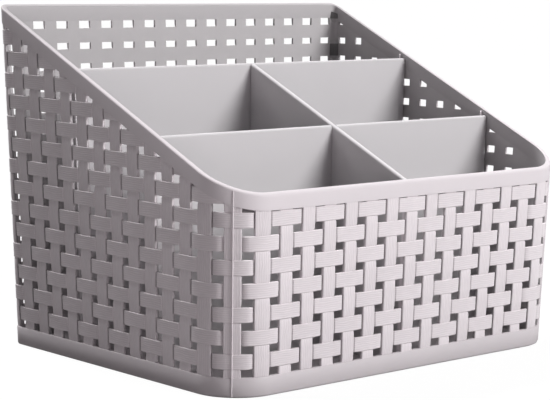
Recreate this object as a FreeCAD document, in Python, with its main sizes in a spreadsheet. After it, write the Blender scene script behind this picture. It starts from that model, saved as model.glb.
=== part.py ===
# Desk caddy: a woven basket with a sloping rim and three lift-out dividers.
# Millimetres. +X is the caddy's right, -Y its front, +Z up; the origin is the middle of the underside.
import FreeCAD, Part
import math
import os
import Sketcher
from FreeCAD import Vector

doc = FreeCAD.newDocument("caddy")

# Driving dimensions
SIZES = [
    # outside of the basket at the table, and the rim's height at its front and rear outer faces
    ("base_width", 230.0),
    ("base_depth", 174.2),
    ("rim_front_height", 94.3),
    ("rim_rear_height", 176.5),
    # the walls lean outwards by these shares of their height: the front and sides alike, the rear more
    ("lean_share", 0.0279),
    ("rear_lean_share", 0.041),
    ("wall", 2.0),
    ("floor_thickness", 2.0),
    ("front_corner_radius", 24.0),
    ("rear_corner_radius", 5.5),
    # smooth bands below and above the weave; the rim band is measured square to the rim
    ("base_band", 9.6),
    ("rim_band", 7.6),
    ("rear_rim_band", 7.9),
    # weave: rows of holes, and the upright strands between the columns of holes
    ("row_pitch", 11.0),
    ("hole_height", 3.8),
    ("rear_hole_height", 3.4),
    ("rear_top_hole_height", 5.0),
    ("strand_width", 7.7),
    ("rear_strand_width", 7.2),
    ("panel_margin", 0.5),
    ("corner_strand_width", 8.6),
    ("corner_hole_width", 6.2),
    ("front_columns", 14),
    ("side_columns", 12),
    ("rear_columns", 16),
    # no hole is narrower than this, and one that the rim band cuts to less than its share of itself is closed
    ("least_hole_width", 2.0),
    ("least_hole_share", 0.12),
    ("least_corner_hole_share", 0.5),
    # dividers: plates that stand on the floor and stop below the rim
    ("divider_thickness", 3.0),
    ("rear_divider_place", 32.75),
    ("front_divider_place", -31.15),
    ("divider_drop", 2.1),
    ("divider_edge_radius", 1.2),
    ("largest_edge_share", 0.4),
    # room at the dividers' ends, under them, and beside the pieces they slide along
    ("end_clearance", 0.8),
    ("seat_clearance", 0.3),
    ("slide_clearance", 0.3),
    # guide ribs on the inner faces of the walls
    ("guide_width", 1.5),
    ("guide_reach", 2.2),
    ("guide_drop", 1.2),
    ("cut_overrun", 5.0),
]

sheet = doc.addObject("Spreadsheet::Sheet", "Sizes")
for row, (alias, value) in enumerate(SIZES, start=1):
    sheet.set("A%d" % row, alias)
    sheet.set("B%d" % row, str(value))
    sheet.setAlias("B%d" % row, alias)
doc.recompute()


def size(alias):
    return float(sheet.get(alias))


lean = size("lean_share")
rear_lean = size("rear_lean_share")
wall = size("wall")
floor_top = size("floor_thickness")
overrun = size("cut_overrun")
half_width = size("base_width") / 2
half_depth = size("base_depth") / 2
left_side = -1
right_side = 1
front_way = -1
rear_way = 1

# The rim lies in one plane, which slopes from rear to front and is level from side to side
rim_front_y = -half_depth - lean * size("rim_front_height")
rim_rear_y = half_depth + rear_lean * size("rim_rear_height")
rim_slope = (size("rim_rear_height") - size("rim_front_height")) / (rim_rear_y - rim_front_y)
side_band = size("rim_band") * math.hypot(1, rim_slope)


def rim_height(y):
    return size("rim_front_height") + rim_slope * (y - rim_front_y)


# The weave's upper limit at a point of a wall: the lower edge of the rim band
def front_weave_limit(point):
    return size("rim_front_height") - size("rim_band")


def rear_weave_limit(point):
    return size("rim_rear_height") - size("rear_rim_band")


def side_weave_limit(point):
    return rim_height(point.y) - side_band


# Outer face of the basket at a height: the lines where its flat walls meet its round corners
def front_flat_end(side, z):
    x = half_width + lean * z - size("front_corner_radius")
    return Vector(side * x, -half_depth - lean * z, z)


def rear_flat_end(side, z):
    x = half_width + lean * z - size("rear_corner_radius")
    return Vector(side * x, half_depth + rear_lean * z, z)


def side_flat_front(side, z):
    y = -half_depth - lean * z + size("front_corner_radius")
    return Vector(side * (half_width + lean * z), y, z)


def side_flat_rear(side, z):
    y = half_depth + rear_lean * z - size("rear_corner_radius")
    return Vector(side * (half_width + lean * z), y, z)


def outline_face(points):
    return Part.Face(Part.makePolygon(points + points[:1]))


def space_above_rim():
    # everything above the rim plane, well past the plan on all sides
    far_front = 2 * rim_front_y
    far_rear = 2 * rim_rear_y
    top = rim_height(far_rear) + overrun
    profile = outline_face([
        Vector(-2 * half_width, far_front, rim_height(far_front)),
        Vector(-2 * half_width, far_rear, rim_height(far_rear)),
        Vector(-2 * half_width, far_rear, top),
        Vector(-2 * half_width, far_front, top),
    ])
    return profile.extrude(Vector(4 * half_width, 0, 0))


above_rim = space_above_rim()


# Weave
def row_heights(top, hole_height):
    heights = []
    bottom = size("base_band")
    while bottom < top:
        heights.append((bottom, bottom + hole_height))
        bottom += size("row_pitch")
    return heights


def rear_row_heights():
    # the rear wall's top row, just below the rim band, is taller than the rest
    limit = size("rim_rear_height") - size("rear_rim_band")
    rows = row_heights(limit, size("rear_hole_height"))
    heights = [(bottom, ceiling) for bottom, ceiling in rows if ceiling <= limit]
    top_bottom = heights[-1][0]
    heights[-1] = (top_bottom, top_bottom + size("rear_top_hole_height"))
    return heights


def column_shares(columns, strand, flat):
    # edges of each column of holes, as shares of the flat wall's length at the table
    margin = size("panel_margin")
    room = flat - 2 * margin
    count = min(round(columns), int((room + strand) / (size("least_hole_width") + strand)))
    hole = (room - (count - 1) * strand) / count
    starts = [margin + column * (hole + strand) for column in range(count)]
    return [(start / flat, (start + hole) / flat) for start in starts]


def trimmed_hole(corners, limit):
    # keeps the part of a hole that lies below the rim band
    kept = []
    for first, second in zip(corners, corners[1:] + corners[:1]):
        first_room = limit(first) - first.z
        second_room = limit(second) - second.z
        if first_room >= 0:
            kept.append(first)
        if first_room * second_room < 0:
            kept.append(first + (second - first) * (first_room / (first_room - second_room)))
    return kept


def woven_holes(start, end, columns, strand, rows, limit):
    # the columns spread with the wall, which grows wider as it leans out
    flat = (end(0) - start(0)).Length
    holes = []
    for left, right in column_shares(columns, strand, flat):
        for bottom, ceiling in rows:
            corners = []
            for share, height in ((left, bottom), (right, bottom), (right, ceiling), (left, ceiling)):
                corners.append(start(height) + (end(height) - start(height)) * share)
            kept = trimmed_hole(corners, limit)
            least = size("least_hole_share") * outline_face(corners).Area
            if len(kept) > 2 and outline_face(kept).Area > least:
                holes.append(kept)
    return holes


def woven_panel(start, end, columns, strand, rows, limit, inwards):
    # one flat wall from the floor to the rim: a holed face in its outer plane, thickened inwards
    top = size("rim_rear_height") + overrun
    outline = [start(floor_top), end(floor_top), end(top), start(top)]
    holes = woven_holes(start, end, columns, strand, rows, limit)
    wires = [Part.makePolygon(points + points[:1]) for points in [outline] + holes]
    face = Part.makeFace(wires, "Part::FaceMakerBullseye")
    return face.extrude(inwards * wall).cut(above_rim)


def corner_shell(side, away, away_lean, radius):
    # quarter of a round tube between two walls; away is the way to its front or rear wall
    # its axis climbs with both walls, and its radii keep it tangent to the side wall's leaning face
    centre = Vector(side * (half_width - radius), away * (half_depth - radius), 0)
    climb = Vector(side * lean, away * away_lean, 1)
    tangent_share = 1 / math.hypot(1, lean)
    foot = centre - climb * overrun
    length = (size("rim_rear_height") + 2 * overrun) * climb.Length
    outer = Part.makeCylinder(radius * tangent_share, length, foot, climb)
    inner = Part.makeCylinder((radius - wall) * tangent_share, length, foot, climb)
    tube = outer.cut(inner)
    # the seam of the round faces turns inwards, away from this quarter
    tube.rotate(foot, climb, math.degrees(math.atan2(-away, -side)))
    out_x = Vector(side * 2 * radius, 0, 0)
    out_y = Vector(0, away * 2 * radius, 0)
    quarter = outline_face([centre, centre + out_x, centre + out_x + out_y, centre + out_y])
    quarter.translate(climb * floor_top)
    sector = quarter.extrude(climb * size("rim_rear_height"))
    return tube.common(sector).cut(above_rim)


def corner_holes(side):
    # a column of holes each side of the corner strand
    # they are drawn square to the wall beside them and climb with the corner
    radius = size("front_corner_radius")
    climb = Vector(side * lean, front_way * lean, 1)
    far_angle = math.pi / 4 - size("corner_strand_width") / 2 / radius
    near_angle = far_angle - size("corner_hole_width") / radius
    near = radius * math.sin(near_angle)
    reach = (radius * math.sin(far_angle) - near) / 2
    front_middle = front_flat_end(side, 0) + Vector(side * (near + reach), 0, 0)
    side_middle = side_flat_front(side, 0) + Vector(0, front_way * (near + reach), 0)
    tools = []
    for middle, reach_x, reach_y, limit in (
            (front_middle, reach, radius, front_weave_limit), (side_middle, radius, reach, side_weave_limit)):
        outline = outline_face([
            middle + Vector(-reach_x, -reach_y, 0), middle + Vector(reach_x, -reach_y, 0),
            middle + Vector(reach_x, reach_y, 0), middle + Vector(-reach_x, reach_y, 0)])
        for bottom, ceiling in row_heights(size("rim_rear_height"), size("hole_height")):
            height = min(ceiling, limit(middle + climb * bottom)) - bottom
            if height > size("least_corner_hole_share") * size("hole_height"):
                hole = outline.copy()
                hole.translate(climb * bottom)
                tools.append(hole.extrude(climb * height))
    return tools


# Guide ribs
def side_guide(side, divider_place):
    # a rib on a side wall, just behind a divider's end
    rear_face = divider_place + size("divider_thickness") / 2 + size("slide_clearance")
    top = rim_height(rear_face) - size("guide_drop")
    outline = []
    for z, reach in ((floor_top, 0), (top, 0), (top, size("guide_reach")), (floor_top, size("guide_reach"))):
        outline.append(Vector(side * (half_width + lean * z - wall - reach), rear_face, z))
    return outline_face(outline).extrude(Vector(0, size("guide_width"), 0))


def front_guide(side):
    # a rib on the front wall, beside the centre divider's front end
    near_face = size("divider_thickness") / 2 + size("slide_clearance")
    top = size("rim_front_height") - size("guide_drop")
    outline = []
    for z, reach in ((floor_top, 0), (top, 0), (top, size("guide_reach")), (floor_top, size("guide_reach"))):
        outline.append(Vector(side * near_face, -half_depth - lean * z + wall + reach, z))
    return outline_face(outline).extrude(Vector(side * size("guide_width"), 0, 0))


def add_shape(label, shape):
    feature = doc.addObject("Part::Feature", label)
    feature.Shape = shape
    return feature


# Basket
sub_parts = []

floor = doc.addObject("PartDesign::Body", "base_floor")
floor_plate = floor.newObject("PartDesign::AdditiveBox", "floor_plate")
floor_width = "(Sizes.base_width + 2 * Sizes.lean_share * Sizes.floor_thickness)"
floor_depth = "(Sizes.base_depth + (Sizes.lean_share + Sizes.rear_lean_share) * Sizes.floor_thickness)"
floor_plate.setExpression("Length", floor_width)
floor_plate.setExpression("Width", floor_depth)
floor_plate.setExpression("Height", "Sizes.floor_thickness")
floor.setExpression("Placement.Base.x", "-%s / 2" % floor_width)
floor.setExpression("Placement.Base.y", "-Sizes.base_depth / 2 - Sizes.lean_share * Sizes.floor_thickness")
doc.recompute()


def upright_edges(shape, y):
    names = []
    for number, edge in enumerate(shape.Edges, start=1):
        first, last = edge.Vertexes[0].Point, edge.Vertexes[-1].Point
        if abs(first.z - last.z) > floor_top / 2 and abs(first.y - y) < wall:
            names.append("Edge%d" % number)
    return names


front_rounding = floor.newObject("PartDesign::Fillet", "front_rounding")
front_rounding.Base = (floor_plate, upright_edges(floor_plate.Shape, floor_plate.Shape.BoundBox.YMin))
front_rounding.setExpression("Radius", "Sizes.front_corner_radius")
doc.recompute()
rear_rounding = floor.newObject("PartDesign::Fillet", "rear_rounding")
rear_rounding.Base = (front_rounding, upright_edges(front_rounding.Shape, floor_plate.Shape.BoundBox.YMax))
rear_rounding.setExpression("Radius", "Sizes.rear_corner_radius")
doc.recompute()
sub_parts.append(floor)

weave_rows = row_heights(size("rim_rear_height"), size("hole_height"))
front_panel = woven_panel(
    lambda z: front_flat_end(left_side, z), lambda z: front_flat_end(right_side, z),
    size("front_columns"), size("strand_width"), weave_rows, front_weave_limit, Vector(0, 1, 0))
sub_parts.append(add_shape("front_wall", front_panel))
rear_panel = woven_panel(
    lambda z: rear_flat_end(left_side, z), lambda z: rear_flat_end(right_side, z),
    size("rear_columns"), size("rear_strand_width"), rear_row_heights(), rear_weave_limit, Vector(0, -1, 0))
sub_parts.append(add_shape("rear_wall", rear_panel))
for side, hand in ((left_side, "left"), (right_side, "right")):
    side_panel = woven_panel(
        lambda z: side_flat_front(side, z), lambda z: side_flat_rear(side, z),
        size("side_columns"), size("strand_width"), weave_rows, side_weave_limit, Vector(-side, 0, 0))
    sub_parts.append(add_shape(hand + "_wall", side_panel))
    front_corner = corner_shell(side, front_way, lean, size("front_corner_radius")).cut(corner_holes(side))
    sub_parts.append(add_shape("front_%s_corner" % hand, front_corner))
    rear_corner = corner_shell(side, rear_way, rear_lean, size("rear_corner_radius"))
    sub_parts.append(add_shape("rear_%s_corner" % hand, rear_corner))
    ribs = [side_guide(side, size("rear_divider_place")), side_guide(side, size("front_divider_place"))]
    sub_parts.append(add_shape(hand + "_guides", Part.makeCompound(ribs)))
front_ribs = [front_guide(left_side), front_guide(right_side)]
sub_parts.append(add_shape("front_guides", Part.makeCompound(front_ribs)))

# Dividers: the same sizes again, as expressions that bind their sketches to the sheet
seat = "(Sizes.floor_thickness + Sizes.seat_clearance)"
slope = ("((Sizes.rim_rear_height - Sizes.rim_front_height) / (Sizes.base_depth"
         " + Sizes.lean_share * Sizes.rim_front_height + Sizes.rear_lean_share * Sizes.rim_rear_height))")
rim_front_face = "(-Sizes.base_depth / 2 - Sizes.lean_share * Sizes.rim_front_height)"
half_plate = "Sizes.divider_thickness / 2"
half_slot = "(Sizes.divider_thickness / 2 + Sizes.slide_clearance)"


def divider_top(y):
    return "(Sizes.rim_front_height + %s * (%s - %s) - Sizes.divider_drop)" % (slope, y, rim_front_face)


def end_at(z):
    return "(Sizes.base_width / 2 + Sizes.lean_share * %s - Sizes.wall - Sizes.end_clearance)" % z


def plate(label, plane_role, corners):
    # a flat plate from its outline; each corner is a pair of expressions, across and up
    body = doc.addObject("PartDesign::Body", label)
    sketch = body.newObject("Sketcher::SketchObject", label + "_outline")
    plane = [feature for feature in body.Origin.OriginFeatures if feature.Role == plane_role][0]
    sketch.AttachmentSupport = [(plane, "")]
    sketch.MapMode = "FlatFace"
    points = [Vector(sheet.evalExpression(x), sheet.evalExpression(z), 0) for x, z in corners]
    for first, second in zip(points, points[1:] + points[:1]):
        sketch.addGeometry(Part.LineSegment(first, second))
    count = len(points)
    for number in range(count):
        sketch.addConstraint(Sketcher.Constraint("Coincident", number, 2, (number + 1) % count, 1))
    for number, (x, z) in enumerate(corners):
        for kind, name, value, expression in (
                ("DistanceX", "across", points[number].x, x), ("DistanceY", "up", points[number].y, z)):
            index = sketch.addConstraint(Sketcher.Constraint(kind, -1, 1, number, 1, value))
            sketch.renameConstraint(index, "%s_%d" % (name, number))
            sketch.setExpression("Constraints.%s_%d" % (name, number), expression)
    pad = body.newObject("PartDesign::Pad", label + "_plate")
    pad.Profile = sketch
    pad.Midplane = True
    pad.setExpression("Length", "Sizes.divider_thickness")
    doc.recompute()
    return body


def round_top(body):
    # softens the long upper edges of a divider
    padded = body.Tip
    shape = padded.Shape
    names = []
    for number, edge in enumerate(shape.Edges, start=1):
        first, last = edge.Vertexes[0].Point, edge.Vertexes[-1].Point
        lowest = min(first.z, last.z)
        reach = math.hypot(first.x - last.x, first.y - last.y)
        if lowest > shape.BoundBox.ZMax / 2 and reach > 2 * size("divider_thickness"):
            names.append("Edge%d" % number)
    rounding = body.newObject("PartDesign::Fillet", body.Name + "_rounding")
    rounding.Base = (padded, names)
    rounding.setExpression(
        "Radius", "min(Sizes.divider_edge_radius; Sizes.largest_edge_share * Sizes.divider_thickness)")
    doc.recompute()


rear_top = divider_top("(Sizes.rear_divider_place - %s)" % half_plate)
rear_divider = plate("rear_divider", "XZ_Plane", [
    ("-" + end_at(seat), seat), (end_at(seat), seat),
    (end_at(rear_top), rear_top), ("-" + end_at(rear_top), rear_top)])
round_top(rear_divider)
rear_divider.setExpression("Placement.Base.y", "Sizes.rear_divider_place")

# The front divider is slotted from above at its middle, down to half its height
front_top = divider_top("(Sizes.front_divider_place - %s)" % half_plate)
lap = "((%s + %s) / 2)" % (seat, front_top)
front_divider = plate("front_divider", "XZ_Plane", [
    ("-" + end_at(seat), seat), (end_at(seat), seat), (end_at(front_top), front_top),
    (half_slot, front_top), (half_slot, lap), ("-" + half_slot, lap), ("-" + half_slot, front_top),
    ("-" + end_at(front_top), front_top)])
round_top(front_divider)
front_divider.setExpression("Placement.Base.y", "Sizes.front_divider_place")

# The centre divider runs from the front wall to the rear divider and is slotted from below
end_gap = "(Sizes.wall + Sizes.end_clearance)"
front_foot = "(-Sizes.base_depth / 2 - Sizes.lean_share * %s + %s)" % (seat, end_gap)
front_peak = ("((Sizes.rim_front_height - Sizes.divider_drop + %s * (%s + Sizes.lean_share * Sizes.rim_front_height))"
              " / (1 + %s * Sizes.lean_share))" % (slope, end_gap, slope))
front_head = "(-Sizes.base_depth / 2 - Sizes.lean_share * %s + %s)" % (front_peak, end_gap)
rear_end = "(Sizes.rear_divider_place - %s)" % half_slot
slot_front = "(Sizes.front_divider_place - %s)" % half_slot
slot_rear = "(Sizes.front_divider_place + %s)" % half_slot
slot_top = "(%s + Sizes.seat_clearance)" % lap
centre_divider = plate("centre_divider", "YZ_Plane", [
    (front_foot, seat), (slot_front, seat), (slot_front, slot_top), (slot_rear, slot_top), (slot_rear, seat),
    (rear_end, seat), (rear_end, divider_top(rear_end)), (front_head, front_peak)])
round_top(centre_divider)
sub_parts += [rear_divider, front_divider, centre_divider]

doc.recompute()
for item in doc.Objects:
    if "Invalid" in item.State or "Error" in item.State:
        raise RuntimeError("%s did not build: %s" % (item.Label, item.State))
for part in sub_parts:
    if part.Shape.isNull() or not part.Shape.isValid():
        raise RuntimeError("%s has no valid shape" % part.Label)

os.makedirs("parts", exist_ok=True)
for part in sub_parts:
    part.Shape.exportStep("parts/%s.step" % part.Label)
    print(part.Label, len(part.Shape.Solids), "solid(s),", round(part.Shape.Volume), "cubic mm,",
          len(part.Shape.Faces), "faces")
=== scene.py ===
import math

import bmesh
import bpy
import numpy as np
from mathutils import Matrix, Vector


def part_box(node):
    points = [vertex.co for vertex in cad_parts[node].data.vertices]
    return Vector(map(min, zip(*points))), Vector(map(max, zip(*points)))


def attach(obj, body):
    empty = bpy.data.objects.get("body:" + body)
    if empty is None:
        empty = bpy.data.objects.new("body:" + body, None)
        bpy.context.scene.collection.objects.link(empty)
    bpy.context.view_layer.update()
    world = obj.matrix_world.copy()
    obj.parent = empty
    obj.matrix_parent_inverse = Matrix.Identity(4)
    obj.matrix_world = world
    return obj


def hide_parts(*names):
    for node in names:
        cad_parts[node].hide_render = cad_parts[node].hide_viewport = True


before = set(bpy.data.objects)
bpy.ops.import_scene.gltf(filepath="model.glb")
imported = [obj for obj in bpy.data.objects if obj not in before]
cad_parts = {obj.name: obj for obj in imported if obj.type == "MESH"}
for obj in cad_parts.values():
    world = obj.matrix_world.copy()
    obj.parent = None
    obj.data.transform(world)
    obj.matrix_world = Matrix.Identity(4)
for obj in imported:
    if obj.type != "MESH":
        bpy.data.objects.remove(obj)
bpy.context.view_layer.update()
print("frame loaded:", len(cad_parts), "nodes")

# the basket's own sizes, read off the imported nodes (metres)
wall = 0.002
lean = 0.0279  # how far the front and the sides lean out for their height
floorLow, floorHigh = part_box("base_floor")
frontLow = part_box("front_wall")[0]
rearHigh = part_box("rear_wall")[1]
floorTop = floorHigh.z
rearLean = (rearHigh.y - floorHigh.y) / (rearHigh.z - floorTop)
halfWidth = floorHigh.x - lean * floorTop
halfDepth = -floorLow.y - lean * floorTop
frontRadius = floorHigh.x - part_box("front_right_corner")[0].x
rearRadius = floorHigh.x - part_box("rear_right_corner")[0].x
rimRear = rearHigh.z
rimFront = floorTop + (floorLow.y - frontLow.y) / lean
rimSlope = (rimRear - rimFront) / (2 * halfDepth + lean * rimFront + rearLean * rimRear)

# half way round the outline at the table, from the middle of the front: flat, corner, side, corner, half the rear
frontFlat = halfWidth - frontRadius
frontArcEnd = frontFlat + frontRadius * math.pi / 2
sideFlat = 2 * halfDepth - frontRadius - rearRadius
sideEnd = frontArcEnd + sideFlat
rearArcEnd = sideEnd + rearRadius * math.pi / 2
rearFlat = halfWidth - rearRadius
halfRound = rearArcEnd + rearFlat
cornerMiddle = (frontFlat + frontArcEnd) / 2
settleSteps = 6  # passes in which the rim's height and the wall's lean settle together


def fromFront(along):
    # distance round the outline from the middle of the front, negative on the left
    return (along + halfRound) % (2 * halfRound) - halfRound


def onBasket(along, up, out):
    # a point given as distance round the outline, height, and distance out of the wall
    along = fromFront(np.asarray(along, float))
    up = np.asarray(up, float)
    side = np.where(along < 0, -1.0, 1.0)
    away = np.abs(along)
    grow = lean * up
    rearGrow = rearLean * up
    frontTurn = (away - frontFlat) / frontRadius
    rearTurn = (away - sideEnd) / rearRadius
    places = [away <= frontFlat, away <= frontArcEnd, away <= sideEnd, away <= rearArcEnd]
    x = np.select(places, [
        away * (frontFlat + grow) / frontFlat,
        frontFlat + grow + (frontRadius + out) * np.sin(frontTurn),
        halfWidth + grow + out,
        rearFlat + grow + (rearRadius + out) * np.cos(rearTurn),
    ], (rearFlat + grow) * (halfRound - away) / rearFlat)
    y = np.select(places, [
        -halfDepth - grow - out,
        frontRadius - halfDepth - grow - (frontRadius + out) * np.cos(frontTurn),
        frontRadius - halfDepth - grow + (sideFlat + grow + rearGrow) * (away - frontArcEnd) / sideFlat,
        halfDepth - rearRadius + rearGrow + (rearRadius + out) * np.sin(rearTurn),
    ], halfDepth + rearGrow + out)
    return np.stack(np.broadcast_arrays(side * x, y, up), -1)


def rimHeight(y):
    return rimFront + rimSlope * (y + halfDepth + lean * rimFront)


def rimPoint(along, out, drop):
    # a point a given drop from the sloping rim
    up = rimRear
    for _ in range(settleSteps):
        up = rimHeight(onBasket(along, up, out)[1]) + drop
    return onBasket(along, up, out)


def bandHeight(along):
    # the rim band keeps its width square to the rim, so it is taller where the rim climbs
    away = abs(fromFront(along))
    climb = np.interp(away, [frontFlat, frontArcEnd, sideEnd, rearArcEnd], [0, 1, 1, 0])
    width = np.interp(away, [sideEnd, rearArcEnd], [rimBand["width"], rimBand["rearWidth"]])
    return width * np.hypot(1, rimSlope * np.sin(climb * math.pi / 2))


def finishPiece(name, work, sharpAngle, material, nodes):
    # turns a worked mesh into a piece of the basket
    bmesh.ops.recalc_face_normals(work, faces=work.faces[:])
    mesh = bpy.data.meshes.new(name)
    work.to_mesh(mesh)
    work.free()
    mesh.shade_smooth()
    mesh.set_sharp_from_angle(angle=math.radians(sharpAngle))
    mesh.materials.append(material)
    piece = bpy.data.objects.new(name, mesh)
    bpy.context.scene.collection.objects.link(piece)
    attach(piece, "basket")
    if nodes:
        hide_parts(*nodes)
    return mesh


# node helpers, for shaders and for geometry
def groupSocket(group, name, way, kind, value=None):
    socket = group.interface.new_socket(name=name, in_out=way, socket_type="NodeSocket" + kind)
    if value is not None:
        socket.default_value = value


def node(tree, kind, inputs=(), **settings):
    made = tree.nodes.new(kind)
    for key, value in settings.items():
        setattr(made, key, value)
    for key, value in dict(inputs).items():
        if isinstance(value, bpy.types.NodeSocket):
            tree.links.new(value, made.inputs[key])
        else:
            made.inputs[key].default_value = value
    return made


def calculator(tree):
    def calc(operation, first, second=0.0, third=0.0):
        return node(tree, "ShaderNodeMath", {0: first, 1: second, 2: third}, operation=operation).outputs[0]
    return calc


# moulded skin: soft mottling, fine grain, painted shade on inner faces and painted light on faces that look up
skinInputs = {
    "Tint": ("Color", "tint"), "Inside Shade Tint": ("Color", "innerTint"), "Mottle": ("Float", "mottle"),
    "Mottle Scale": ("Float", "mottleScale"), "Grain Scale": ("Float", "grainScale"),
    "Gloss Base": ("Float", "roughness"), "Gloss Spread": ("Float", "roughSpread"),
    "Top Light Gain": ("Float", "crestGain"),
}
skinShape = {
    "cloudDetail": 4.0, "cloudRough": 0.6, "grainDetail": 2.0, "grainRough": 0.5,
    "insideStart": -0.01, "insideFull": -0.05, "topLightStart": 0.3, "topLightFull": 0.75,
}


def mouldedSkinGroup():
    group = bpy.data.node_groups.new("mouldedSkin", "ShaderNodeTree")
    for name, (kind, _) in skinInputs.items():
        groupSocket(group, name, "INPUT", kind)
    groupSocket(group, "Color", "OUTPUT", "Color")
    groupSocket(group, "Roughness", "OUTPUT", "Float")
    groupSocket(group, "Height", "OUTPUT", "Float")
    given = node(group, "NodeGroupInput").outputs
    calc = calculator(group)
    coords = node(group, "ShaderNodeTexCoord").outputs
    place = coords["Object"]
    cloud = node(group, "ShaderNodeTexNoise", {
        "Vector": place, "Scale": given["Mottle Scale"],
        "Detail": skinShape["cloudDetail"], "Roughness": skinShape["cloudRough"]}).outputs["Fac"]
    grain = node(group, "ShaderNodeTexNoise", {
        "Vector": place, "Scale": given["Grain Scale"],
        "Detail": skinShape["grainDetail"], "Roughness": skinShape["grainRough"]}).outputs["Fac"]
    swing = calc("SUBTRACT", cloud, 0.5)
    # a face that looks back to the middle is on the inside, where its colour is darkened as painted shade
    level = node(group, "ShaderNodeVectorMath", {0: place, 1: (1.0, 1.0, 0.0)}, operation="MULTIPLY").outputs[0]
    facing = node(group, "ShaderNodeVectorMath", {
        0: level, 1: coords["Normal"]}, operation="DOT_PRODUCT").outputs["Value"]
    inside = node(group, "ShaderNodeMapRange", {
        "Value": facing, "From Min": skinShape["insideStart"], "From Max": skinShape["insideFull"],
        "To Min": 0.0, "To Max": 1.0}).outputs[0]
    insideShaded = node(group, "ShaderNodeVectorMath", {
        0: given["Tint"], 1: given["Inside Shade Tint"]}, operation="MULTIPLY").outputs[0]
    base = node(group, "ShaderNodeMix", {0: inside, 6: given["Tint"], 7: insideShaded}, data_type="RGBA").outputs[2]
    # faces that look up are painted paler, as painted light from above
    upward = node(group, "ShaderNodeSeparateXYZ", {0: coords["Normal"]}).outputs["Z"]
    crest = node(group, "ShaderNodeMapRange", {
        "Value": upward, "From Min": skinShape["topLightStart"], "From Max": skinShape["topLightFull"],
        "To Min": 1.0, "To Max": given["Top Light Gain"]}).outputs[0]
    shade = calc("MULTIPLY", calc("MULTIPLY_ADD", swing, given["Mottle"], 1.0), crest)
    tinted = node(group, "ShaderNodeVectorMath", {0: base, "Scale": shade}, operation="SCALE").outputs[0]
    unevenness = calc("ADD", swing, calc("SUBTRACT", grain, 0.5))
    gloss = calc("MULTIPLY_ADD", unevenness, given["Gloss Spread"], given["Gloss Base"])
    node(group, "NodeGroupOutput", {"Color": tinted, "Roughness": gloss, "Height": grain})
    return group


# strand grain: fine lengthwise lines, a little wavy and different on each pad
grainInputs = {"Line Count": "lineCount", "Waver": "waver", "Streak": "streak", "Shade Depth": "shadeDepth"}
grainShape = {
    "toneSeed": 180.0, "bendAlong": 3.0, "bendAcross": 2.0, "bendDetail": 1.0,
    "streakAlong": 4.0, "streakAcross": 1.7, "streakDetail": 3.0, "middleHeight": 0.25,
}


def strandGrainGroup():
    group = bpy.data.node_groups.new("strandGrain", "ShaderNodeTree")
    for name in ("Across", "Along", "Tone", *grainInputs):
        groupSocket(group, name, "INPUT", "Float")
    groupSocket(group, "Height", "OUTPUT", "Float")
    groupSocket(group, "Shade", "OUTPUT", "Float")
    given = node(group, "NodeGroupInput").outputs
    calc = calculator(group)
    seed = calc("MULTIPLY", given["Tone"], grainShape["toneSeed"])
    bend = node(group, "ShaderNodeCombineXYZ", {
        "X": calc("MULTIPLY", given["Along"], grainShape["bendAlong"]),
        "Y": calc("MULTIPLY", given["Across"], grainShape["bendAcross"]), "Z": seed}).outputs[0]
    waver = node(group, "ShaderNodeTexNoise", {
        "Vector": bend, "Scale": 1.0, "Detail": grainShape["bendDetail"]}).outputs["Fac"]
    shift = calc("MULTIPLY", calc("SUBTRACT", waver, 0.5), given["Waver"])
    phase = calc("MULTIPLY_ADD", given["Across"], given["Line Count"], shift)
    line = calc("MULTIPLY_ADD", calc("SINE", calc("MULTIPLY", phase, 2 * math.pi)), 0.5, 0.5)
    stretch = node(group, "ShaderNodeCombineXYZ", {
        "X": calc("MULTIPLY", given["Along"], grainShape["streakAlong"]),
        "Y": calc("MULTIPLY", phase, grainShape["streakAcross"]), "Z": seed}).outputs[0]
    streak = node(group, "ShaderNodeTexNoise", {
        "Vector": stretch, "Scale": 1.0, "Detail": grainShape["streakDetail"]}).outputs["Fac"]
    uneven = calc("MULTIPLY", calc("SUBTRACT", streak, 0.5), given["Streak"])
    height = calc("MULTIPLY_ADD", line, streak, uneven)
    # painted shade: the low parts of the lines are painted darker
    raised = calc("SUBTRACT", height, grainShape["middleHeight"])
    shade = calc("MULTIPLY_ADD", raised, given["Shade Depth"], 1.0)
    node(group, "NodeGroupOutput", {"Height": height, "Shade": shade})
    return group


mouldedSkin = mouldedSkinGroup()
strandGrain = strandGrainGroup()


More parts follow.
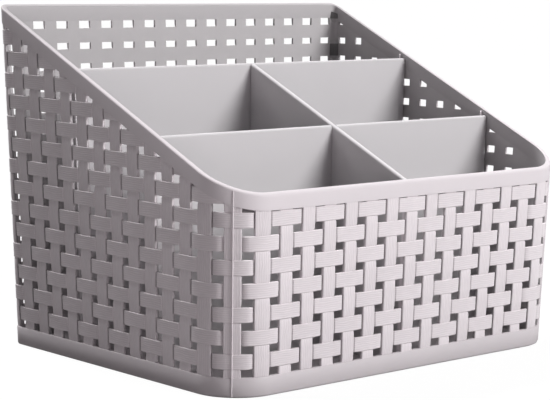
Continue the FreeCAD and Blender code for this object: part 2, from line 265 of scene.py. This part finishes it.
def plasticMaterial(name, look, grainLook=None):
    material = bpy.data.materials.new(name)
    material.use_nodes = True
    tree = material.node_tree
    tree.nodes.clear()
    skin = node(tree, "ShaderNodeGroup", node_tree=mouldedSkin)
    for socket, (kind, key) in skinInputs.items():
        skin.inputs[socket].default_value = (*look[key], 1) if kind == "Color" else look[key]
    colour = skin.outputs["Color"]
    normal = node(tree, "ShaderNodeBump", {
        "Height": skin.outputs["Height"], "Strength": look["grainStrength"],
        "Distance": look["grainDepth"]}).outputs[0]
    if grainLook:  # each pad has its own lines and is a touch lighter or darker than the next
        tone, across, along, sunkShadeMask = (
            node(tree, "ShaderNodeAttribute", attribute_name=attribute).outputs["Fac"]
            for attribute in ("padTone", "padAcross", "padAlong", "padSunkShade"))
        grain = node(tree, "ShaderNodeGroup", {
            "Tone": tone, "Across": across, "Along": along}, node_tree=strandGrain)
        for socket, key in grainInputs.items():
            grain.inputs[socket].default_value = grainLook[key]
        # painted shade: the flank of an upright is painted dark where a level strand runs in behind it, but not
        # beside a hole
        calc = calculator(tree)
        beside = node(tree, "ShaderNodeMapRange", {
            "Value": calc("ABSOLUTE", along), "From Min": grainLook["flankEnd"], "From Max": grainLook["flankStop"],
            "To Min": grainLook["sunkShade"], "To Max": grainLook["holeShade"]}).outputs[0]
        shadow = calc("SUBTRACT", 1.0, calc("MULTIPLY", sunkShadeMask, beside))
        shade = calc("MULTIPLY", calc("MULTIPLY", tone, shadow), grain.outputs["Shade"])
        colour = node(tree, "ShaderNodeVectorMath", {0: colour, "Scale": shade}, operation="SCALE").outputs[0]
        normal = node(tree, "ShaderNodeBump", {
            "Height": grain.outputs["Height"], "Strength": grainLook["lineStrength"],
            "Distance": grainLook["lineDepth"], "Normal": normal}).outputs[0]
    shader = node(tree, "ShaderNodeBsdfPrincipled", {
        "Base Color": colour, "Roughness": skin.outputs["Roughness"], "Normal": normal,
        "Specular IOR Level": look["specular"]})
    node(tree, "ShaderNodeOutputMaterial", {"Surface": shader.outputs[0]})
    return material


# the inner tint darkens faces that look inward, as painted shade
wovenLook = {
    "tint": (0.737, 0.685, 0.710), "innerTint": (0.63, 0.65, 0.64), "crestGain": 1.0,
    "mottle": 0.10, "mottleScale": 90.0, "grainScale": 2400.0, "grainStrength": 0.25, "grainDepth": 0.00006,
    "roughness": 0.48, "roughSpread": 0.12, "specular": 0.18,
}
strandLook = {
    "lineCount": 7.0, "waver": 1.1, "streak": 0.7, "shadeDepth": 0.12, "lineStrength": 0.7, "lineDepth": 0.0001,
    "sunkShade": 0.72, "holeShade": 0.15, "flankEnd": 0.23, "flankStop": 0.27,
}
smoothLook = {
    "tint": (0.690, 0.642, 0.667), "innerTint": (0.66, 0.68, 0.67), "crestGain": 1.0,
    "mottle": 0.05, "mottleScale": 45.0, "grainScale": 3200.0, "grainStrength": 0.15, "grainDepth": 0.00005,
    "roughness": 0.44, "roughSpread": 0.10, "specular": 0.18,
}
# the dividers' faces that look up are painted paler, as painted light
dividerLook = {
    "tint": (0.560, 0.542, 0.555), "innerTint": (1.0, 1.0, 1.0), "crestGain": 1.3,
    "mottle": 0.06, "mottleScale": 25.0, "grainScale": 3000.0, "grainStrength": 0.12, "grainDepth": 0.00005,
    "roughness": 0.42, "roughSpread": 0.10, "specular": 0.24,
}
shadedBaseLook = dict(smoothLook, tint=(0.575, 0.535, 0.555))  # painted shade: the base is tinted a little darker than the rim
wovenPlastic = plasticMaterial("wovenPlastic", wovenLook, strandLook)
smoothPlastic = plasticMaterial("smoothPlastic", smoothLook)
shadedBasePlastic = plasticMaterial("shadedBasePlastic", shadedBaseLook)
dividerPlastic = plasticMaterial("dividerPlastic", dividerLook)
print("materials made")

# the weave: where the holes, the upright strands and the level strands lie
weave = {
    "firstHole": 0.0096, "holeHeight": 0.0038, "rearHole": 0.0034, "rearTopHole": 0.005, "rowPitch": 0.011,
    "frontRows": 7, "frontColumns": 14, "sideColumns": 12, "rearColumns": 16,
    "strandWidth": 0.0077, "rearStrandWidth": 0.0072, "panelMargin": 0.0005,
    "cornerStrand": 0.0086, "cornerHole": 0.0062, "leastHole": 0.12, "leastCornerHole": 0.5,
    "coreDepth": 0.00155, "innerDrop": 0.00004, "holeEase": 0.00003, "frontBends": 20, "rearBends": 12,
    "cutDepth": 0.004, "cutMerge": 1e-7, "sharpAngle": 35.0,
}
rimBand = {
    "width": 0.0076, "rearWidth": 0.0079, "outerRound": 0.0009, "innerRound": 0.0004, "roundSteps": 5,
    "lowerBevel": 0.0003, "lowerDepth": 0.0006, "lipSpread": 0.0007, "sharpAngle": 50.0,
}
baseBand = {"height": 0.0096, "footRound": 0.0011, "innerRound": 0.0012, "roundShare": 0.3, "sharpAngle": 50.0}


def columnsOn(start, length, count, strand):
    hole = (length - 2 * weave["panelMargin"] - (count - 1) * strand) / count
    starts = [start + weave["panelMargin"] + column * (hole + strand) for column in range(count)]
    return [(left, left + hole) for left in starts]


def holesRound():
    # the columns of holes in order round the basket, from the middle of the rear and back to it
    near = cornerMiddle - weave["cornerStrand"] / 2 - weave["cornerHole"]
    far = cornerMiddle + weave["cornerStrand"] / 2
    right = [(near, near + weave["cornerHole"]), (far, far + weave["cornerHole"])]
    right += columnsOn(frontArcEnd, sideFlat, weave["sideColumns"], weave["strandWidth"])
    rear = columnsOn(rearArcEnd, 2 * rearFlat, weave["rearColumns"], weave["rearStrandWidth"])
    right += rear[:weave["rearColumns"] // 2]
    left = [(-end, -start) for start, end in reversed(right)]
    return left + columnsOn(-frontFlat, 2 * frontFlat, weave["frontColumns"], weave["strandWidth"]) + right


holes = holesRound()
strands = [(holes[k][1], holes[k + 1][0]) for k in range(len(holes) - 1)]
strands.append((holes[-1][1], holes[0][0] + 2 * halfRound))
cornerStrandIndex = next(k for k, (start, end) in enumerate(strands) if start < -cornerMiddle < end)
rowCount = int((rimRear - weave["firstHole"]) / weave["rowPitch"]) + 1
rearTopRow = int((rimRear - rimBand["rearWidth"] - weave["firstHole"] - weave["rearHole"]) / weave["rowPitch"])
print("weave plan:", len(holes), "columns,", rowCount, "rows")


def holeSpan(row, wallName):
    # the rear's holes are lower than the rest, except for its taller top row
    bottom = weave["firstHole"] + row * weave["rowPitch"]
    if wallName != "rear":
        return bottom, bottom + weave["holeHeight"]
    return bottom, bottom + weave["rearTopHole" if row == rearTopRow else "rearHole"]


def wallOf(along):
    away = abs(fromFront(along))
    if away <= frontArcEnd:
        return "front"
    if away > sideEnd:
        return "rear"
    return "left" if fromFront(along) < 0 else "right"


def holeOpen(along, row, wallName):
    # a hole that the rim band would leave as a sliver is closed
    bottom, top = holeSpan(row, wallName)
    room = rimHeight(onBasket(along, bottom, 0)[1]) - bandHeight(along) - bottom
    atCorner = frontFlat < abs(along) < frontArcEnd
    return room > (top - bottom) * weave["leastCornerHole" if atCorner else "leastHole"]


# a pad: nearly flat, with bevelled long edges, three soft ridges and ends that dip under their neighbours
padShape = {
    "ridgeDepth": 0.00005, "ridgeWaves": 3, "dipPower": 11.0,
    "endCrowding": 2.5, "endTaper": 0.05, "taperPower": 12.0,
    "bevelShare": 0.08, "bevelStart": 2 / 3, "bevelEdge": 0.99, "bevelDrop": 0.00025, "deepestShare": 0.97,
    "foldStart": 0.501, "weld": 0.00001, "toneSpread": 0.035, "toneSeed": 7, "sunkStart": 0.00045, "sunkFull": 0.0009,
}
# upright strands run nearly straight, level ones rise over them and dip behind them
padHeights = {
    "upright": {"crest": 0.0003, "dip": 0.0003, "sunkShadeShare": 1.0},
    "level": {"crest": 0.0001, "dip": 0.00138, "sunkShadeShare": 0.25},
}
# segments along and across; pads that go round a bend need more than the flat ones
padSegments = {
    "upright": (5, 6), "level": (5, 6), "bentLevel": (9, 6), "tightLevel": (25, 6), "tightUpright": (5, 12),
}


def padKind(left, right, upright):
    reach = [abs(fromFront(spot)) for spot in (left, right)]
    if max(reach) > sideEnd and min(reach) < rearArcEnd:
        return "tightUpright" if upright else "tightLevel"
    if max(reach) > frontFlat and min(reach) < frontArcEnd and not upright:
        return "bentLevel"
    return "upright" if upright else "level"


def padPlan(wallName):
    # plain weave: upright and level strands take turns on top, and each pad runs to the strands that cover its ends
    pads = {kind: [] for kind in padSegments}
    for index, (start, end) in enumerate(strands):
        middle = (start + end) / 2
        if wallOf(middle) != wallName:
            continue
        before = holes[index]
        after = holes[(index + 1) % len(holes)]
        for row in range(-1, rowCount):
            below, above = holeSpan(row, wallName), holeSpan(row + 1, wallName)
            upright = (index - cornerStrandIndex + weave["frontRows"] - row) % 2 == 0
            if upright:
                left, right, low, high = start, end, below[0], above[1]
            else:
                left, right = start - (before[1] - before[0]), end + (after[1] - after[0])
                low, high = below[1], above[0]
            if low > rimHeight(onBasket(middle, low, 0)[1]) - weave["cutDepth"]:
                continue
            size = (high - low, right - left) if upright else (right - left, high - low)
            turn = math.pi / 2 if upright else 0.0
            pads[padKind(left, right, upright)].append(((left + right) / 2, (low + high) / 2, *size, turn))
    return {kind: spots for kind, spots in pads.items() if spots}


def padTree():
    tree = bpy.data.node_groups.new("padWeave", "GeometryNodeTree")
    groupSocket(tree, "Plan", "INPUT", "Geometry")
    groupSocket(tree, "Along Segments", "INPUT", "Int", padSegments["level"][0])
    groupSocket(tree, "Across Segments", "INPUT", "Int", padSegments["level"][1])
    floats = {
        "Ridge Depth": padShape["ridgeDepth"], "Dip": padHeights["level"]["dip"], "Dip Power": padShape["dipPower"],
        "End Crowding": padShape["endCrowding"], "End Taper": padShape["endTaper"],
        "Bevel Share": padShape["bevelShare"], "Bevel Drop": padShape["bevelDrop"],
        "Crest Drop": padHeights["level"]["crest"], "Pad Depth": weave["coreDepth"],
        "Tone Spread": padShape["toneSpread"], "Sunk Shade Share": padHeights["level"]["sunkShadeShare"],
    }
    for name, value in floats.items():
        groupSocket(tree, name, "INPUT", "Float", value)
    groupSocket(tree, "Material", "INPUT", "Material")
    groupSocket(tree, "Pads", "OUTPUT", "Geometry")
    given = node(tree, "NodeGroupInput").outputs
    calc = calculator(tree)

    # a unit grid with one spare ring of points, which is folded down to make the pad's sides
    alongSize = calc("DIVIDE", calc("ADD", given["Along Segments"], 2.0), given["Along Segments"])
    acrossSize = calc("DIVIDE", calc("ADD", given["Across Segments"], 2.0), given["Across Segments"])
    grid = node(tree, "GeometryNodeMeshGrid", {
        "Size X": alongSize, "Size Y": acrossSize,
        "Vertices X": calc("ADD", given["Along Segments"], 3.0),
        "Vertices Y": calc("ADD", given["Across Segments"], 3.0)})
    here = node(tree, "ShaderNodeSeparateXYZ", {0: node(tree, "GeometryNodeInputPosition").outputs[0]}).outputs
    along = node(tree, "ShaderNodeClamp", {"Value": here["X"], "Min": -0.5, "Max": 0.5}).outputs[0]
    across = node(tree, "ShaderNodeClamp", {"Value": here["Y"], "Min": -0.5, "Max": 0.5}).outputs[0]
    alongFar = calc("MULTIPLY", calc("ABSOLUTE", along), 2.0)
    acrossFar = calc("MULTIPLY", calc("ABSOLUTE", across), 2.0)
    # the points crowd to the ends, and the outer strip is the bevel
    rest = calc("MAXIMUM", calc("SUBTRACT", 1.0, alongFar), 0.0)
    crowded = calc("SUBTRACT", 1.0, calc("POWER", rest, given["End Crowding"]))
    flatShare = calc("SUBTRACT", 1.0, given["Bevel Share"])
    inner = calc("MULTIPLY", calc("MULTIPLY", flatShare, 0.5 / padShape["bevelStart"]), acrossFar)
    strip = calc("MULTIPLY", given["Bevel Share"], 0.5 / (1 - padShape["bevelStart"]))
    outer = calc("MULTIPLY_ADD", strip, acrossFar, calc("SUBTRACT", 0.5, strip))
    taper = calc("MULTIPLY", calc("POWER", crowded, padShape["taperPower"]), given["End Taper"])
    alongPlace = calc("MULTIPLY", calc("MULTIPLY", calc("SIGN", along), crowded), 0.5)
    half = calc("MULTIPLY", calc("MINIMUM", inner, outer), calc("SUBTRACT", 1.0, taper))
    acrossPlace = calc("MULTIPLY", calc("SIGN", across), half)
    dip = calc("MULTIPLY", calc("POWER", crowded, given["Dip Power"]), given["Dip"])
    wave = calc("COSINE", calc("MULTIPLY", acrossFar, padShape["ridgeWaves"] * math.pi))
    ridge = calc("MULTIPLY", calc("MULTIPLY_ADD", wave, -0.5, 0.5), given["Ridge Depth"])
    bevel = calc("MULTIPLY", calc("GREATER_THAN", acrossFar, padShape["bevelEdge"]), given["Bevel Drop"])
    relief = calc("ADD", calc("ADD", dip, ridge), calc("ADD", bevel, given["Crest Drop"]))
    deepest = calc("MULTIPLY", given["Pad Depth"], padShape["deepestShare"])
    top = calc("MULTIPLY", calc("MINIMUM", relief, deepest), -1.0)
    reach = calc("MAXIMUM", calc("ABSOLUTE", here["X"]), calc("ABSOLUTE", here["Y"]))
    folded = calc("GREATER_THAN", reach, padShape["foldStart"])
    low = calc("MULTIPLY", given["Pad Depth"], -1.0)
    height = node(tree, "ShaderNodeMix", {0: folded, 2: top, 3: low}, data_type="FLOAT").outputs[0]
    shaped = node(tree, "ShaderNodeCombineXYZ", {"X": alongPlace, "Y": acrossPlace, "Z": height}).outputs[0]
    pad = node(tree, "GeometryNodeSetPosition", {"Geometry": grid.outputs["Mesh"], "Position": shaped}).outputs[0]
    pad = node(tree, "GeometryNodeMergeByDistance", {"Geometry": pad, "Distance": padShape["weld"]}).outputs[0]
    spot = node(tree, "ShaderNodeSeparateXYZ", {0: node(tree, "GeometryNodeInputPosition").outputs[0]}).outputs
    # how deep a point lies below the crest, the mask for the painted shade in the recesses
    sunkShadeMask = node(tree, "ShaderNodeMapRange", {
        "Value": calc("MULTIPLY", spot["Z"], -1.0), "From Min": padShape["sunkStart"],
        "From Max": padShape["sunkFull"], "To Min": 0.0, "To Max": given["Sunk Shade Share"]}).outputs[0]
    for name, value in (("padAlong", spot["X"]), ("padAcross", spot["Y"]), ("padSunkShade", sunkShadeMask)):
        pad = node(tree, "GeometryNodeStoreNamedAttribute", {
            "Geometry": pad, "Name": name, "Value": value}, data_type="FLOAT", domain="POINT").outputs[0]

    # one pad on each planned crossing, turned and stretched to its strand
    size = node(tree, "GeometryNodeInputNamedAttribute", {"Name": "padSize"}, data_type="FLOAT_VECTOR").outputs[0]
    turn = node(tree, "GeometryNodeInputNamedAttribute", {"Name": "padTurn"}, data_type="FLOAT").outputs[0]
    turned = node(tree, "FunctionNodeEulerToRotation", {
        0: node(tree, "ShaderNodeCombineXYZ", {"Z": turn}).outputs[0]}).outputs[0]
    placed = node(tree, "GeometryNodeInstanceOnPoints", {
        "Points": given["Plan"], "Instance": pad, "Rotation": turned, "Scale": size})
    chance = node(tree, "FunctionNodeRandomValue", {"Seed": padShape["toneSeed"]}, data_type="FLOAT").outputs[1]
    tone = calc("MULTIPLY_ADD", calc("SUBTRACT", chance, 0.5), given["Tone Spread"], 1.0)
    toned = node(tree, "GeometryNodeStoreNamedAttribute", {
        "Geometry": placed.outputs[0], "Name": "padTone", "Value": tone}, data_type="FLOAT", domain="INSTANCE")
    whole = node(tree, "GeometryNodeRealizeInstances", {0: toned.outputs[0]})
    dressed = node(tree, "GeometryNodeSetMaterial", {
        "Geometry": whole.outputs[0], "Material": given["Material"]})
    node(tree, "NodeGroupOutput", {"Pads": dressed.outputs[0]})
    return tree


padWeave = padTree()


def padMesh(name, pads, segments, heights):
    plan = bpy.data.meshes.new(name)
    plan.from_pydata([(pad[0], pad[1], 0) for pad in pads], [], [])
    sizes = plan.attributes.new("padSize", "FLOAT_VECTOR", "POINT")
    sizes.data.foreach_set("vector", [value for pad in pads for value in (pad[2], pad[3], 1.0)])
    turns = plan.attributes.new("padTurn", "FLOAT", "POINT")
    turns.data.foreach_set("value", [pad[4] for pad in pads])
    holder = bpy.data.objects.new(name, plan)
    bpy.context.scene.collection.objects.link(holder)
    modifier = holder.modifiers.new("padWeave", "NODES")
    modifier.node_group = padWeave
    settings = {
        "Along Segments": segments[0], "Across Segments": segments[1], "Crest Drop": heights["crest"],
        "Dip": heights["dip"], "Sunk Shade Share": heights["sunkShadeShare"], "Material": wovenPlastic,
    }
    for item in padWeave.interface.items_tree:
        if item.in_out == "INPUT" and item.name in settings:
            modifier[item.identifier] = settings[item.name]
    depsgraph = bpy.context.evaluated_depsgraph_get()
    mesh = bpy.data.meshes.new_from_object(
        holder.evaluated_get(depsgraph), preserve_all_data_layers=True, depsgraph=depsgraph)
    holder.modifiers.remove(modifier)
    bpy.data.objects.remove(holder)
    return mesh


def closeHoles(work):
    openEdges = [edge for edge in work.edges if edge.is_boundary]
    if not openEdges:
        return []
    return bmesh.ops.holes_fill(work, edges=openEdges, sides=0)["faces"]


def trimToBands(work):
    # what runs under the rim band or the base band stops half way up it
    rimNormal = Vector((0, -rimSlope, 1)).normalized()
    cuts = [(Vector((0, 0, rimHeight(0) - weave["cutDepth"])), rimNormal),
            (Vector((0, 0, baseBand["height"] - weave["cutDepth"])), Vector((0, 0, -1)))]
    for point, normal in cuts:
        everything = work.verts[:] + work.edges[:] + work.faces[:]
        bmesh.ops.bisect_plane(
            work, geom=everything, dist=weave["cutMerge"], plane_co=point, plane_no=normal, clear_outer=True)
        closeHoles(work)


def wrapOnBasket(work):
    spots = np.array([vert.co for vert in work.verts])
    for vert, place in zip(work.verts, onBasket(spots[:, 0], spots[:, 1], spots[:, 2])):
        vert.co = place


def corePlan(wallName):
    # lines along and up that bound the holes, with extra lines where a corner bends
    ends = {"front": (-frontArcEnd, frontArcEnd), "right": (frontArcEnd, sideEnd),
            "rear": (sideEnd, 2 * halfRound - sideEnd), "left": (-sideEnd, -frontArcEnd)}[wallName]
    ease = weave["holeEase"]
    gaps = [(start - ease, end + ease) for start, end in holes]
    gaps += [(start + 2 * halfRound, end + 2 * halfRound) for start, end in gaps if start < 0]
    gaps = [gap for gap in gaps if ends[0] < gap[0] and gap[1] < ends[1]]
    lines = set(ends) | {edge for gap in gaps for edge in gap}
    bends = ((frontFlat, frontArcEnd, weave["frontBends"]), (sideEnd, rearArcEnd, weave["rearBends"]))
    for bendStart, bendEnd, parts in bends:
        for step in range(parts + 1):
            spot = bendStart + (bendEnd - bendStart) * step / parts
            lines |= {value for value in (spot, -spot, 2 * halfRound - spot) if ends[0] < value < ends[1]}
    return sorted(lines), gaps


def coreMesh(work, wallName):
    # the thin sheet behind the pads, with the holes through it
    lines, gaps = corePlan(wallName)
    ease = weave["holeEase"]
    levels = [baseBand["height"] - 2 * weave["cutDepth"]]
    openRows = {}
    for row in range(rowCount):
        bottom, top = holeSpan(row, wallName)
        openRows[len(levels)] = row
        levels += [bottom - ease, top + ease]
    levels.append(rimRear)
    cells = set()
    for column in range(len(lines) - 1):
        middle = (lines[column] + lines[column + 1]) / 2
        gap = next((gap for gap in gaps if gap[0] < middle < gap[1]), None)
        for level in range(len(levels) - 1):
            if not (gap and level in openRows and holeOpen(sum(gap) / 2, openRows[level], wallName)):
                cells.add((column, level))
    made = {}
    sunkShadeMask = work.verts.layers.float["padSunkShade"]

    def corner(column, level, inner):
        key = (column, level, inner)
        if key not in made:
            out = weave["innerDrop"] - wall if inner else 2 * ease - weave["coreDepth"]
            made[key] = work.verts.new((lines[column], levels[level], out))
            # painted shade: the sheet's outer face is marked fully sunk, so it is painted dark behind the pads
            made[key][sunkShadeMask] = 0.0 if inner else 1.0
        return made[key]

    for column, level in cells:
        ring = [(column, level), (column + 1, level), (column + 1, level + 1), (column, level + 1)]
        work.faces.new([corner(*spot, False) for spot in ring])
        work.faces.new([corner(*spot, True) for spot in reversed(ring)])
        beside = [(column, level - 1), (column + 1, level), (column, level + 1), (column - 1, level)]
        for side, neighbour in enumerate(beside):
            if neighbour not in cells:
                first, second = ring[side], ring[(side + 1) % len(ring)]
                work.faces.new([corner(*second, False), corner(*first, False),
                                corner(*first, True), corner(*second, True)])


wallNodes = {
    "front": ["front_wall", "front_left_corner", "front_right_corner"], "left": ["left_wall"],
    "right": ["right_wall"], "rear": ["rear_wall", "rear_left_corner", "rear_right_corner"],
}


def makeWeave(wallName):
    work = bmesh.new()
    padCount = 0
    for kind, pads in padPlan(wallName).items():
        heights = padHeights["upright" if kind.lower().endswith("upright") else "level"]
        padded = padMesh(wallName + kind, pads, padSegments[kind], heights)
        flat = bmesh.new()
        flat.from_mesh(padded)
        bottoms = closeHoles(flat)
        if kind not in padHeights:  # a bent pad needs a back that bends with it
            bmesh.ops.triangulate(flat, faces=bottoms, ngon_method="BEAUTY")
        flat.to_mesh(padded)
        flat.free()
        work.from_mesh(padded)
        bpy.data.meshes.remove(padded)
        padCount += len(pads)
    coreMesh(work, wallName)
    tone = work.verts.layers.float["padTone"]
    for vert in work.verts:  # the sheet has no tone of its own
        if vert[tone] == 0:
            vert[tone] = 1.0
    wrapOnBasket(work)
    trimToBands(work)
    for face in work.faces:
        face.material_index = 0
    mesh = finishPiece(wallName + "_weave", work, weave["sharpAngle"], wovenPlastic, wallNodes[wallName])
    print("weave on the", wallName, "wall:", padCount, "pads,", len(mesh.polygons), "faces")


for wallName in wallNodes:
    makeWeave(wallName)

# stops round the outline: close together on the corners, further apart on the flats
stationCounts = {"frontFlat": 6, "frontCorner": 24, "side": 8, "rearCorner": 12, "rearFlat": 6}


def roundStations():
    stops = []
    marks = [0, frontFlat, frontArcEnd, sideEnd, rearArcEnd, halfRound]
    for start, end, count in zip(marks, marks[1:], stationCounts.values()):
        stops += [start + (end - start) * step / count for step in range(count)]
    stops.append(halfRound)
    return stops + [-stop for stop in reversed(stops[1:-1])]


def sweepRound(work, sections, closed):
    # joins the sections, one at each stop, into a ring of faces; an open section is left open between its two ends
    rings = [[work.verts.new(point) for point in section] for section in sections]
    for ring, after in zip(rings, rings[1:] + rings[:1]):
        for first in range(len(ring) if closed else len(ring) - 1):
            second = (first + 1) % len(ring)
            work.faces.new([ring[first], after[first], after[second], ring[second]])
    return rings


def makeRimBand():
    bevel = rimBand["lowerBevel"]
    turns = [step * math.pi / 2 / rimBand["roundSteps"] for step in range(rimBand["roundSteps"] + 1)]
    inner = rimBand["innerRound"]
    innerLip = [(inner - inner * math.cos(turn) - wall - rimBand["lipSpread"], inner * math.sin(turn) - inner)
                for turn in reversed(turns)]
    work = bmesh.new()
    sections = []
    for stop in roundStations():
        # the outer edge is well rounded on the front and the sides, less so on the rear
        lip = np.interp(abs(stop), [sideEnd, rearArcEnd], [rimBand["outerRound"], inner])
        outerLip = [(lip * math.cos(turn) - lip, lip * math.sin(turn) - lip) for turn in turns]
        tall = float(bandHeight(stop))
        profile = [(-rimBand["lowerDepth"], -tall), (0, bevel - tall), *outerLip, *innerLip, (-wall, -tall)]
        sections.append([rimPoint(stop, out, drop) for out, drop in profile])
    sweepRound(work, sections, closed=True)
    finishPiece("rim_band", work, rimBand["sharpAngle"], smoothPlastic, [])
    print("rim band swept")


def makeBase():
    foot = baseBand["footRound"]
    inner = baseBand["innerRound"]
    share = baseBand["roundShare"]
    top = baseBand["height"]
    work = bmesh.new()
    profile = [(-foot, 0), (-foot * share, foot * share), (0, foot), (0, top - foot * share),
               (-foot * share, top), (-wall, top), (-wall, floorTop + inner),
               (-wall - inner * share, floorTop + inner * share), (-wall - inner, floorTop)]
    sections = [[onBasket(stop, up, out) for out, up in profile] for stop in roundStations()]
    rings = sweepRound(work, sections, closed=False)
    work.faces.new([ring[0] for ring in rings])
    work.faces.new([ring[-1] for ring in rings])
    finishPiece("base_shell", work, baseBand["sharpAngle"], shadedBasePlastic, ["base_floor"])
    print("base shell made")


# a fine moulding line stands up the middle of each front corner
partingLine = {
    "width": 0.0006, "crestShare": 1 / 3, "proud": 0.0003, "depth": 0.0012, "steps": 24, "endGap": 0.0007,
    "sharpAngle": 50.0,
}


def makePartingLines():
    work = bmesh.new()
    half = partingLine["width"] / 2
    crest = half * partingLine["crestShare"]
    profile = [(-half, -partingLine["depth"]), (-half, 0), (-crest, partingLine["proud"]),
               (crest, partingLine["proud"]), (half, 0), (half, -partingLine["depth"])]
    for middle in (-cornerMiddle, cornerMiddle):
        low = partingLine["endGap"]
        high = float(rimPoint(middle, 0, 0)[2]) - partingLine["endGap"]
        rings = []
        for step in range(partingLine["steps"] + 1):
            up = low + (high - low) * step / partingLine["steps"]
            rings.append([work.verts.new(onBasket(middle + along, up, out)) for along, out in profile])
        for ring, after in zip(rings, rings[1:]):
            for first in range(len(ring)):
                second = (first + 1) % len(ring)
                work.faces.new([ring[first], ring[second], after[second], after[first]])
        work.faces.new(rings[0])
        work.faces.new(rings[-1])
    finishPiece("parting_lines", work, partingLine["sharpAngle"], smoothPlastic, [])
    print("parting lines made")


makeRimBand()
makeBase()
makePartingLines()

dressedNodes = {
    "left_guides": smoothPlastic, "right_guides": smoothPlastic, "front_guides": smoothPlastic,
    "rear_divider": dividerPlastic, "front_divider": dividerPlastic, "centre_divider": dividerPlastic,
}
for name, material in dressedNodes.items():
    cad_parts[name].data.materials.clear()
    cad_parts[name].data.materials.append(material)
print("dividers and guides dressed")

# stage: a plain white floor that keeps a light shadow
stageLook = {
    "size": 30.0, "tint": (0.22, 0.22, 0.22), "whiteShare": 0.75, "white": 1.27,
    "skyLevel": 0.06, "skyLean": (0.5, 0.3, 0.0), "skyTint": (1.0, 0.91, 0.95),
}
# a large soft key from the front right, a small fill low at the left front, and a sun from above for the rims
lamps = {
    "key": {"place": (0.616, -1.36, 0.752), "aim": (0.0, -0.05, 0.07), "power": 26.4, "size": 0.85,
            "tint": (1.0, 1.0, 1.0)},
    "fill": {"place": (-0.45, -0.38, 0.05), "aim": (-0.11, 0.0, 0.07), "power": 0.45, "size": 0.2,
             "tint": (1.0, 0.9, 0.94)},
}
topSun = {"toward": (-0.035, 0.6, 0.79), "strength": 3.36, "angle": 15.0}


def seenRays(tree):
    path = node(tree, "ShaderNodeLightPath").outputs
    calc = calculator(tree)
    return calc("MAXIMUM", calc("MAXIMUM", path["Is Camera Ray"], path["Is Glossy Ray"]), path["Is Transmission Ray"])


def makeFloor():
    mesh = bpy.data.meshes.new("floor")
    half = stageLook["size"] / 2
    mesh.from_pydata([(-half, -half, 0), (half, -half, 0), (half, half, 0), (-half, half, 0)], [], [(0, 1, 2, 3)])
    floor = bpy.data.objects.new("floor", mesh)
    bpy.context.scene.collection.objects.link(floor)
    material = bpy.data.materials.new("floorWhite")
    material.use_nodes = True
    tree = material.node_tree
    tree.nodes.clear()
    camera = node(tree, "ShaderNodeLightPath").outputs["Is Camera Ray"]
    share = calculator(tree)("MULTIPLY", camera, stageLook["whiteShare"])
    matte = node(tree, "ShaderNodeBsdfDiffuse", {"Color": (*stageLook["tint"], 1)})
    white = node(tree, "ShaderNodeEmission", {"Color": (1, 1, 1, 1), "Strength": stageLook["white"]})
    both = node(tree, "ShaderNodeMixShader", {0: share, 1: matte.outputs[0], 2: white.outputs[0]})
    node(tree, "ShaderNodeOutputMaterial", {"Surface": both.outputs[0]})
    mesh.materials.append(material)


def makeWorld():
    world = bpy.data.worlds.new("studio")
    bpy.context.scene.world = world
    world.use_nodes = True
    tree = world.node_tree
    tree.nodes.clear()
    # the soft fill is weaker from the front and from the left
    way = node(tree, "ShaderNodeTexCoord").outputs["Generated"]
    side = node(tree, "ShaderNodeVectorMath", {
        0: way, 1: stageLook["skyLean"]}, operation="DOT_PRODUCT").outputs["Value"]
    calc = calculator(tree)
    level = calc("MULTIPLY", calc("ADD", side, 1.0), stageLook["skyLevel"])
    sky = node(tree, "ShaderNodeBackground", {"Color": (*stageLook["skyTint"], 1), "Strength": level})
    white = node(tree, "ShaderNodeBackground", {"Color": (1, 1, 1, 1), "Strength": 1.0})
    mixed = node(tree, "ShaderNodeMixShader", {0: seenRays(tree), 1: sky.outputs[0], 2: white.outputs[0]})
    node(tree, "ShaderNodeOutputWorld", {"Surface": mixed.outputs[0]})


def addLamp(light, place, away):
    lamp = bpy.data.objects.new(light.name, light)
    bpy.context.scene.collection.objects.link(lamp)
    lamp.location = place
    lamp.rotation_euler = away.to_track_quat("Z", "Y").to_euler()


def makeLamp(name, look):
    light = bpy.data.lights.new(name, "AREA")
    light.shape = "DISK"
    light.energy = look["power"]
    light.color = look["tint"]
    light.size = look["size"]
    addLamp(light, look["place"], Vector(look["place"]) - Vector(look["aim"]))


def makeSun():
    light = bpy.data.lights.new("top", "SUN")
    light.energy = topSun["strength"]
    light.angle = math.radians(topSun["angle"])
    addLamp(light, topSun["toward"], Vector(topSun["toward"]))


# camera: its place, its turn and its lens come from the rows and columns of holes in the photograph
photo = {"width": 550, "height": 400, "axisX": 270.0, "axisY": 196.1, "focal": 1864.0}
cameraLook = {
    "place": (-0.6554, -0.71715, 0.1977), "right": (0.74653, -0.66522, 0.01325),
    "down": (-0.07163, -0.10016, -0.99239), "sensor": 36.0, "near": 0.01,
}


def makeCamera():
    data = bpy.data.cameras.new("camera")
    camera = bpy.data.objects.new("camera", data)
    bpy.context.scene.collection.objects.link(camera)
    right = Vector(cameraLook["right"]).normalized()
    down = Vector(cameraLook["down"]).normalized()
    back = -right.cross(down).normalized()
    turn = Matrix((right, back.cross(right), back)).transposed()
    camera.matrix_world = Matrix.Translation(cameraLook["place"]) @ turn.to_4x4()
    data.sensor_width = cameraLook["sensor"]
    data.lens = photo["focal"] * cameraLook["sensor"] / photo["width"]
    data.shift_x = (photo["width"] / 2 - photo["axisX"]) / photo["width"]
    data.shift_y = (photo["axisY"] - photo["height"] / 2) / photo["width"]
    data.clip_start = cameraLook["near"]
    bpy.context.scene.camera = camera


makeFloor()
makeWorld()
for name, look in lamps.items():
    makeLamp(name, look)
makeSun()
makeCamera()
bpy.context.scene.view_settings.view_transform = "Standard"
print("stage, lamps and camera set")
